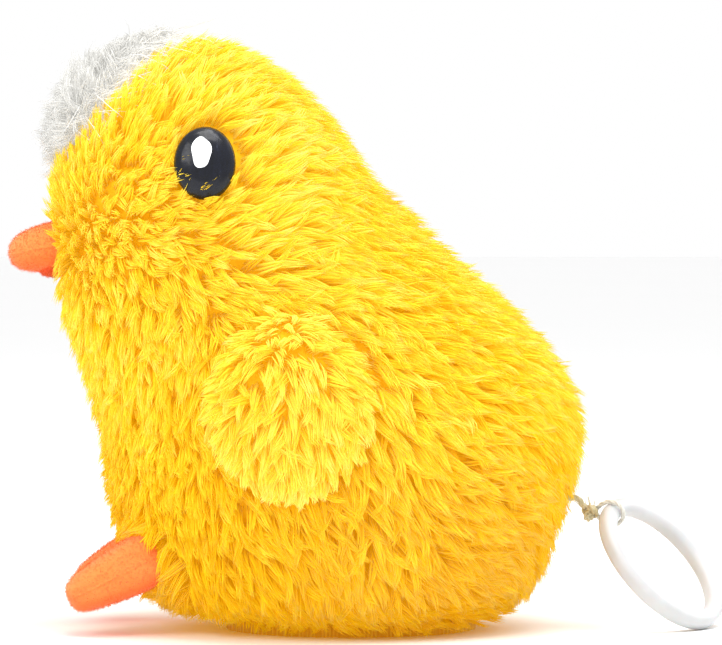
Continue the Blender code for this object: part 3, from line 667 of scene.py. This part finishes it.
def noiseField(points, scale, seed):
    # a slow wave over space, between about -1 and 1
    rng = np.random.default_rng(seed)
    total = np.zeros(len(points))
    for _ in range(6):
        way = unit(rng.normal(size=3)) * scale * rng.uniform(0.6, 1.6)
        total += np.sin(points @ way + rng.uniform(0, 6.28))
    return total / 3


def layFlow(points, normals):
    # the pile runs away from the beak over the head, and back and down over the body
    beak = np.array([0.0, cadBox[0][1] + 0.012, 0.074])
    head = smooth(points[:, 2] + 0.25 * points[:, 1], 0.048, 0.072)[:, None]
    away = points - beak
    away = unit(away - normals * (away * normals).sum(axis=1, keepdims=True))
    down = np.array([0.0, 0.62, -0.78])
    flow = head * away + (1 - head) * down
    # at the hem the pile splays out over the table
    hem = (1 - smooth(points[:, 2], 0.003, 0.013))[:, None]
    flow = (1 - hem) * flow + hem * unit(points * (1, 1, 0) + (0, 0.002, -0.020))
    side = np.cross(normals, unit(flow))
    return flow + side * (0.45 * noiseField(points, 120.0, 3))[:, None]


def eyeCentre(side):
    low, high = boxOf(f"eye_{side}")
    return (low + high) / 2


def overNeck(points):
    return points[:, 2] > neck["z"] + (points[:, 1] - neck["y"]) * neck["slope"]


def oval(points, centre, half):
    # below 1 inside an upright oval, seen from the side
    return np.hypot((points[:, 1] - centre[1]) / half[0], (points[:, 2] - centre[2]) / half[1])


def makeSkins(points, normals, faces, covers):
    # the head's and the body's backing cloth, each a closed skin with a rim at the neck
    above = overNeck(points[faces].mean(axis=1))
    for name, keep, replaced in (("head_skin", above, covers[:2]), ("body_skin", ~above, covers[2:])):
        used = np.unique(faces[keep])
        index = np.full(len(points), -1)
        index[used] = np.arange(len(used))
        inner = points[used] - normals[used] * body["skin"]
        part = index[faces[keep]]
        edges = np.concatenate([part[:, [0, 1]], part[:, [1, 2]], part[:, [2, 0]]])
        there = {tuple(e) for e in edges.tolist()}
        rim = [e for e in there if (e[1], e[0]) not in there]
        count = len(used)
        walls = [(b, a, a + count) for a, b in rim] + [(b, a + count, b + count) for a, b in rim]
        both = np.concatenate([part, part[:, ::-1] + count, np.array(walls)])
        skin = pieceFrom(name, np.concatenate([points[used], inner]), both)
        finishPiece(skin, backing, "root", replaced)


def clearOfOthers(spots):
    # true where neither the beak, the cord, the crest nor the base panel lies on the skin
    atBeak = (spots - np.array(bare["beak"])) / bare["beakHalf"]
    clear = np.linalg.norm(atBeak, axis=1) > 1
    clear &= np.linalg.norm(spots - np.array(bare["cord"]), axis=1) > bare["cordRadius"]
    atCrest = (spots - crest["centre"]) @ turnedX(crest["tilt"]) / np.array(crest["half"])
    edge = bare["crest"] + bare["crestWave"] * noiseField(spots, 260.0, 17)
    clear &= np.linalg.norm(atCrest, axis=1) > edge
    low, high = boxOf("base_panel")
    onBase = (spots - (low + high) / 2) / ((high - low) / 2 + bare["baseMore"])
    under = (spots[:, 2] < bare["baseBelow"]) & (np.hypot(onBase[:, 0], onBase[:, 1]) < 1)
    return clear & ~under


def makePlush():
    rng = np.random.default_rng(11)
    covers = [f"{part}_cover_{side}" for part in ("head", "body") for side in ("left", "right")]
    points, faces = wrapSolid(covers + ["base_panel"], body["centre"], body["divisions"], 0.0, 3)
    normals = vertexNormals(points, faces)
    points = points - normals * body["inset"]
    points[:, 2] = np.maximum(points[:, 2], body["lowest"])
    makeSkins(points, normals, faces, covers)

    spots, outward = scatter(points, faces, body["spacing"], rng)
    y, z = spots[:, 1], spots[:, 2]
    flow = layFlow(spots, outward)
    longer = body["backLength"] - body["frontLength"]
    length = body["frontLength"] + longer * smooth(y, -0.05, 0.0)
    length = np.where(z < body["hemBelow"], np.minimum(length, body["hemLength"]), length)
    keep = np.ones(len(spots), bool)
    lift = body["hemLift"] * (1 - smooth(z, 0.002, 0.009))
    for side, sign in (("left", 1), ("right", -1)):
        here = spots[:, 0] * sign > 0
        # the pile round the eye, a little longer and more raised in front of it
        middle = eyeCentre(side)
        near = oval(spots, middle, eye["half"])
        keep &= ~(here & (near < nearEye["bare"]))
        short = nearEye["length"] + nearEye["frontMore"] * (y < middle[1])
        length = np.where(here & (near < nearEye["short"]), short, length)
        before = (y < middle[1] + 0.001) | (z < middle[2] - 0.002)
        raised = nearEye["lift"] + nearEye["frontLift"] * before
        lift = np.where(here & (near < nearEye["raised"]), raised, lift)
        # pressed flat under the wing
        low, high = boxOf(f"wing_{side}")
        under = oval(spots, (low + high) / 2, (high - low)[1:] / 2 * wing["presses"])
        flatten = here & (under < 1) & (np.abs(spots[:, 0]) > 0.02)
        length = np.where(flatten, body["underWing"], length)
        # bare inside the foot, and hanging forward over its root
        turned = turnedX(foot["tilt"])
        inPad = (spots - foot["centre"] * (sign, 1, 1)) @ turned / np.array(foot["half"])
        keep &= np.linalg.norm(inPad, axis=1) > bare["foot"]
        root = foot["centre"] + turned @ np.array([0, foot["half"][1], 0])
        atRoot = here & (np.linalg.norm(spots - root * (sign, 1, 1), axis=1) < foot["hides"])
        flow = np.where(atRoot[:, None], np.array(foot["hideFlow"]), flow)
        length = np.where(atRoot, foot["hideLength"], length)
    keep &= clearOfOthers(spots)
    spots, outward, flow, length, lift = (v[keep] for v in (spots, outward, flow, length, lift))

    y, z = spots[:, 1], spots[:, 2]
    # painted shade: the pile is painted darker towards the floor, where less light falls on it
    lowShade = body["lowShade"] * (1 - smooth(z, 0, body["lowShadeBelow"]))
    tones = body["patches"] * noiseField(spots, 90.0, 5) - lowShade
    head = overNeck(spots)
    bands = {"crown": head & (z > crownAbove), "cheek": head & (z <= crownAbove)}
    for band, (front, back) in bodyBands.items():
        bands[band] = ~head & (y >= front) & (y < back)
    for band, there in bands.items():
        for side, sign in (("left", 1), ("right", -1)):
            group = there & (spots[:, 0] * sign > 0)
            pile = growFur(f"{band}_pile_{side}", spots[group], outward[group], flow[group],
                           length[group], pelt, rng, tones[group], lift[group])
            finishPiece(pile, yellowPile, "root")
            print(pile.name, len(pile.data.polygons), "faces")


makePlush()
print("plush body grown")


def makeWings():
    for side, sign, rides in (("left", 1, "wing_l"), ("right", -1, "wing_r")):
        rng = np.random.default_rng(21)
        low, high = boxOf(f"wing_{side}")
        centre, half = (low + high) / 2, (high - low) / 2
        points, faces = wrapSolid([f"wing_{side}"], centre, 5, wing["inset"], 3)
        # narrow towards the seam above, broad and full below
        rise = (points[:, 2] - centre[2]) / half[2]
        narrow = wing["neck"] + (1 - wing["neck"]) * smooth(rise, 1.0, -0.25)
        points[:, 1] = centre[1] + (points[:, 1] - centre[1]) * narrow
        # the top tucks in to the sewn edge at the body
        points[:, 0] -= sign * wing["tuck"] * smooth(rise, 0.30, 0.95)
        # and the middle of the lower edge hangs a little
        across = (points[:, 1] - centre[1]) / half[1]
        points[:, 2] -= wing["sag"] * smooth(rise, 0.2, -1.0) * (1 - across ** 2)
        pad = pieceFrom(f"wing_pad_{side}", points, faces)
        finishPiece(pad, backing, rides, [f"wing_{side}"])
        spots, outward = scatter(points, faces, wing["spacing"], rng)
        seam = np.array([centre[0], centre[1] + 0.001, high[2] + 0.006])
        flow = unit(spots - seam) + 0.22 * noiseField(spots, 160.0, 9)[:, None] * np.array([0, 1.0, 0.6])
        rim = oval(spots, centre, half[1:])
        length = wing["length"] + (wing["rimLength"] - wing["length"]) * smooth(rim, 0.55, 0.95)
        inner = outward[:, 0] * sign < -0.35
        length = np.where(inner, wing["insideLength"], length) * rng.uniform(0.85, 1.1, len(spots))
        tone = 0.20 * smooth(rim, 0.6, 0.95) - 0.02 + 0.07 * noiseField(spots, 150.0, 4)
        # locks round the seam close the corner between wing and body at every angle
        hinge = next(j["pos_m"] for j in frame["joints"] if j["name"] == f"wing_{side}_flap")
        count = wing["seamLocks"]
        turn = rng.uniform(0.2, 1.4, count)[:, None]
        up, inward = np.array([0, 0, 1.0]), np.array([-sign, 0, 0])
        around = np.cos(turn) * up + np.sin(turn) * inward
        along = rng.uniform(-1, 1, count)[:, None] * np.array([0, wing["seamHalf"], 0])
        spots = np.concatenate([spots, np.array(hinge) + along + around * 0.0010])
        outward = np.concatenate([outward, around])
        wrap = np.cos(turn) * inward - np.sin(turn) * up
        flow = np.concatenate([flow, wrap + rng.normal(0, 0.35, count)[:, None] * np.array([0, 1.0, 0])])
        length = np.concatenate([length, wing["seamLength"] * rng.uniform(0.7, 1.1, count)])
        tone = np.concatenate([tone, rng.normal(-0.10, 0.06, count)])
        pile = growFur(f"wing_pile_{side}", spots, outward, flow, length, pelt, rng, tone)
        finishPiece(pile, palePile, rides)
        print(pile.name, len(pile.data.polygons), "faces")


makeWings()
print("wings grown")


# felt beak and feet
def feltPad(name, shape, sign=1):
    # a stuffed felt pad: two cut pieces that meet in a seam along the sides
    rays, faces = ballMesh(6)[:2]
    power = shape["round"]
    rays = rays / (np.abs(rays) ** power).sum(axis=1, keepdims=True) ** (1 / power)
    points = rays * np.array(shape["half"])
    along = rays[:, 1]
    points[:, 2] *= shape["toe"] + (shape["root"] - shape["toe"]) * smooth(along, -1.0, 1.0)
    normals = vertexNormals(points, faces)
    seam = np.exp(-(rays[:, 2] / 0.045) ** 2) * smooth(np.hypot(rays[:, 0], rays[:, 1]), 0.6, 0.95)
    around = np.arctan2(rays[:, 1], rays[:, 0])
    pucker = np.sin(around * felt["puckers"]) * np.exp(-(rays[:, 2] / 0.22) ** 2)
    lumps = noiseField(points, 420.0, 31) * felt["lump"] + noiseField(points, 1500.0, 32) * felt["grain"]
    points += normals * (felt["seam"] * seam + felt["pucker"] * pucker * seam + lumps)[:, None]
    centre = shape["centre"] * (sign, 1, 1)
    return pieceFrom(name, points @ turnedX(shape["tilt"]).T + centre, faces)


def feltFuzz(name, pad, look, seed, count=2600):
    # short loose fibres that stand off the felt
    data = pad.data
    points = np.array([v.co for v in data.vertices])
    faces = np.array([p.vertices for p in data.polygons])
    rng = np.random.default_rng(seed)
    spacing = math.sqrt(sum(p.area for p in data.polygons) / count)
    spots, outward = scatter(points, faces, spacing, rng)
    flow = unit(rng.normal(size=spots.shape))
    fuzz = dict(pelt, strands=1, turn=1.5, width=0.00012, spread=0.00005, leanRoot=0.7, leanTip=1.2,
                lockTone=0.2, curl=1.1, rootShade=0.1, rings=(0.0, 0.5), widths=(1.0, 0.8))
    length = rng.uniform(0.0004, 0.0011, len(spots))
    finishPiece(growFur(name, spots, outward, flow, length, fuzz, rng), look, "root")


def feltLook(name, light, deep, under):
    # the felt glows a little in its own colour: painted light
    look = Look(name, Roughness=0.92, Specular_IOR_Level=0.15, Sheen_Weight=0.15, Emission_Strength=0.14)
    fibre = look.noise(1400.0, 5.0, 0.7, stretch=(1.0, 1.0, 2.2))
    patch = look.noise(120.0, 3.0)
    # faces that point down take the third colour: painted shade on the undersides of beak and feet
    normal = look.node("ShaderNodeNewGeometry", output="Normal")
    up = look.node("ShaderNodeSeparateXYZ", {}, {0: normal}, output="Z")
    top = look.ramp(fibre * 0.6 + patch * 0.4, (0.35, deep), (0.65, light))
    colour = look.mix(look.ramp(up * -0.5 + 0.5, (0.45, (0, 0, 0, 1)), (0.85, (1, 1, 1, 1))), top, under)
    look.set("Base Color", colour)
    look.set("Emission Color", colour)
    look.bump(fibre, 0.6, 0.0003)
    return look


orangeFelt = feltLook("orange_felt", rgb(250, 146, 80), rgb(247, 126, 60), rgb(244, 112, 52))
# the lower beak's felt is a darker copy of the beak's felt: painted shade under the upper beak
shadedFelt = feltLook("shaded_orange_felt", rgb(242, 122, 64), rgb(234, 102, 48), rgb(222, 84, 38))


def makeFelt():
    for part, shape, look, slot in (("upper", beakUpper, orangeFelt, "felt"),
                                    ("lower", beakLower, shadedFelt, "felt_dark")):
        pad = finishPiece(feltPad(f"beak_pad_{part}", shape), look, "root", [f"beak_{part}"])
        feltFuzz(f"beak_fuzz_{part}", pad, look, 41)
    for side, sign in (("left", 1), ("right", -1)):
        pad = finishPiece(feltPad(f"foot_pad_{side}", foot, sign), orangeFelt, "root",
                          [f"foot_{side}"])
        feltFuzz(f"foot_fuzz_{side}", pad, orangeFelt, 43)


makeFelt()
print("beak and feet made")


# glossy domed eyes, each with a white glint
def makeEyeLook():
    look = Look("eye_black", IOR=1.32, Coat_Roughness=0.1)
    streak = look.noise(340.0, 4.0, 0.65, stretch=(1.0, 2.6, 0.7))
    dust = look.noise(1300.0, 3.0, 0.6)
    look.set("Base Color", look.ramp(streak, (0.45, rgb(7, 10, 20)), (0.64, rgb(15, 19, 33)),
                                     (0.76, rgb(60, 66, 82))))
    look.set("Roughness", dust * 0.3 + 0.12)
    look.set("Coat Weight", 0.35 - dust * 0.3)
    look.bump(streak, 0.2, 0.0002)
    return look


def makeGlintLook():
    # the glint glows a little in its own white: painted light
    look = Look("eye_glint", Roughness=0.35, Emission_Strength=0.25)
    cloud = look.noise(500.0, 3.0)
    colour = look.ramp(cloud, (0.3, rgb(236, 238, 242)), (0.7, rgb(255, 255, 255)))
    look.set("Base Color", colour)
    look.set("Emission Color", colour)
    return look


def ringSpots(rows, sectors, spotAt):
    # one spot in the middle, then rings of them out to the rim
    return np.array([spotAt(i / rows, 2 * math.pi * k / sectors)
                     for i in range(rows + 1) for k in range(sectors if i else 1)])


def closedCap(name, points, rows, sectors, out, depth):
    # a skin over those rings, with a flat back that lies behind its rim
    faces = [(0, 1 + k, 1 + (k + 1) % sectors) for k in range(sectors)]
    for i in range(rows):
        for k in range(sectors):
            a, b = 1 + i * sectors + k, 1 + i * sectors + (k + 1) % sectors
            faces.append((a, a + sectors, b + sectors, b))
    behind = len(points)
    faces.append(tuple(behind + k for k in range(sectors))[::-1])
    if out[0] < 0:
        faces = [face[::-1] for face in faces]
    points = np.concatenate([points, points[-sectors:] - out * depth])
    return pieceFrom(name, points, faces, sharp=50)


def makeEyes():
    eyeLook, glintLook = makeEyeLook(), makeGlintLook()
    for side, sign in (("left", 1), ("right", -1)):
        middle = eyeCentre(side)
        tree = solidTree(f"eye_{side}")
        out = np.array([sign * 1.0, 0.0, 0.0])

        def onEye(y, z):
            # where the frame's eye is met from outside, if it is
            return tree.ray_cast(Vector((sign * 0.2, y, z)), Vector(-out))[0]

        def domeSpot(share, angle):
            reach = math.sin(share * math.pi / 2) * eye["domeReach"]
            y = middle[1] + eye["half"][0] * reach * math.cos(angle)
            z = middle[2] + eye["half"][1] * reach * math.sin(angle)
            return tuple(onEye(y, z) or (np.nan, y, z))

        def glintSpot(share, angle):
            # a white patch of uneven outline, laid on the dome
            wobble = 1 + 0.05 * math.sin(3 * angle + 0.7) + 0.04 * math.sin(5 * angle)
            y = middle[1] + eye["glint"][0] + eye["glintHalf"][0] * share * wobble * math.cos(angle)
            z = middle[2] + eye["glint"][1] + eye["glintHalf"][1] * share * wobble * math.sin(angle)
            lift = eye["glintRise"] * math.sqrt(max(0.0, 1 - share ** 2)) + eye["glintGap"]
            return onEye(y, z)[0] + sign * lift, y, z

        points = ringSpots(*eye["domeRings"], domeSpot)
        edgeX = np.nanmin(points[:, 0] * sign) * sign
        points[:, 0] = np.where(np.isnan(points[:, 0]), edgeX, points[:, 0])
        dome = closedCap(f"eye_dome_{side}", points, *eye["domeRings"], out, eye["domeBack"])
        finishPiece(dome, eyeLook, "root", [f"eye_{side}"])
        points = ringSpots(*eye["glintRings"], glintSpot)
        glint = closedCap(f"eye_glint_{side}", points, *eye["glintRings"], out, eye["glintBack"])
        finishPiece(glint, glintLook, "root")


makeEyes()
print("eyes made")


# the white crest on the forehead
def makeCrest():
    rng = np.random.default_rng(61)
    white = furLook("white_fluff", 0.36, (0.0, rgb(194, 193, 189)), (0.35, rgb(204, 203, 199)),
                    (0.7, rgb(213, 212, 209)), (1.0, rgb(222, 222, 220)))
    rays, faces = ballMesh(5)[:2]
    core = rays * np.array(crest["half"]) * crest["core"]
    core += vertexNormals(core, faces) * (0.0015 * noiseField(core, 300.0, 62))[:, None]
    core = core @ turnedX(crest["tilt"]).T + crest["centre"]
    pad = pieceFrom("crest_core", core, faces, np.full(len(core), 0.45))
    finishPiece(pad, white, "root", ["crest_tuft"])
    spots, outward = scatter(core, faces, crest["spacing"], rng)
    flow = unit(np.array([0.0, 0.35, 1.0]) + 0.9 * noiseField(spots, 300.0, 63)[:, None]
                * np.array([1.0, 0.6, 0.2]) + 0.7 * rng.normal(size=spots.shape))
    fluff = dict(pelt, strands=9, width=0.00020, spread=0.0011, leanRoot=0.45, leanTip=1.40, curl=0.9,
                 turn=0.9, gather=0.7, lockTone=0.06, strandTone=0.04, rootShade=0.12)
    length = crest["length"] * rng.uniform(0.6, 1.2, len(spots))
    length = length * (1 + 0.50 * noiseField(spots, 330.0, 64))
    shade = -0.45 * smooth(spots[:, 1] - spots[:, 2], -0.1500, -0.1640)
    for side, half in (("left", spots[:, 0] > 0), ("right", spots[:, 0] <= 0)):
        pile = growFur(f"crest_fluff_{side}", spots[half], outward[half], flow[half], length[half],
                       fluff, rng, shade[half])
        finishPiece(pile, white, "root")
        print(pile.name, len(pile.data.polygons), "faces")

    # long thin wisps that stray back over the yellow pile
    edge = spots[(spots[:, 1] > crest["centre"][1] + 0.004) | (np.abs(spots[:, 0]) > 0.0095)]
    pick = rng.choice(len(edge), crest["wisps"])
    starts = edge[pick]
    away = unit(starts - crest["centre"] * (1, 1, 0.93))
    back = unit(np.array([0.0, 1.0, -0.12]) + 0.28 * rng.normal(size=starts.shape))
    wisp = dict(fluff, strands=1, width=0.00022, spread=0.0001, leanRoot=0.9, leanTip=1.75, curl=0.5,
                turn=0.25)
    reach = crest["wispLength"] * rng.uniform(0.5, 1.1, len(starts))
    strays = growFur("crest_wisps", starts, away, back, reach, wisp, rng, 0.3)
    finishPiece(strays, white, "root")


makeCrest()
print("crest made")


# finishes of the frame's own pieces that stay
def plainLook(name, first, second, scale, rough, metal=0.0, bumps=0.2, depth=0.0001, stretch=None):
    look = Look(name, Metallic=metal)
    grain = look.noise(scale, 4.0, 0.65, stretch=stretch)
    look.set("Base Color", look.ramp(grain, (0.3, first), (0.7, second)))
    look.set("Roughness", grain * 0.2 + rough)
    look.bump(grain, bumps, depth)
    return look


def weaveLook(name, first, second, pitch):
    look = Look(name, Roughness=0.9, Sheen_Weight=0.2)
    place = look.place()
    bands = [look.node("ShaderNodeTexWave", {"bands_direction": way}, {"Vector": place, "Scale": pitch,
                                                                      "Distortion": 0.6, "Detail": 2.0},
                       output="Fac") for way in ("X", "Y")]
    weave = bands[0] * bands[1]
    look.set("Base Color", look.ramp(weave, (0.0, first), (0.8, second)))
    look.bump(weave, 0.6, 0.0003)
    return look


def finishFrame():
    looks = {
        "base_panel": weaveLook("base_cloth", rgb(226, 172, 14), rgb(246, 204, 50), 420.0),
        "cord_eyelet": plainLook("eyelet_plastic", rgb(236, 232, 220), rgb(248, 246, 240), 900.0, 0.35),
        "cord_bush": plainLook("bush_acetal", rgb(226, 226, 222), rgb(240, 240, 236), 700.0, 0.4),
        "stuffing": plainLook("fibre_filling", rgb(232, 232, 230), rgb(250, 250, 250), 700.0, 0.75,
                              0.0, 0.9, 0.0012),
        "housing": plainLook("housing_plastic", rgb(206, 208, 210), rgb(222, 224, 226), 1600.0, 0.45),
        "gear": plainLook("gear_acetal", rgb(236, 234, 226), rgb(246, 244, 238), 800.0, 0.35),
        "steel": plainLook("turned_steel", rgb(150, 152, 156), rgb(196, 198, 202), 1200.0, 0.25, 1.0,
                           0.2, 0.00005, (0.2, 1.0, 1.0)),
        "spring": plainLook("blued_spring_steel", rgb(60, 66, 84), rgb(96, 102, 118), 900.0, 0.3, 1.0),
        "wound": tanTwine,
    }
    # the words that tell a node's finish; a node with none of them is its own kind
    kinds = {"stuffing": ("stuffing",), "housing": ("housing_left", "housing_right", "washer"),
             "gear": ("drum_gear", "second_gear", "pinion", "cord_drum", "arbor"),
             "steel": ("axle", "screw", "eccentric"), "spring": ("mainspring",), "wound": ("winding",)}
    for name, node in nodes.items():
        if node.hide_render:
            continue
        kind = next((k for k, words in kinds.items() if any(word in name for word in words)), name)
        node.data.materials.clear()
        node.data.materials.append(looks[kind].material)


finishFrame()
print("frame pieces finished")
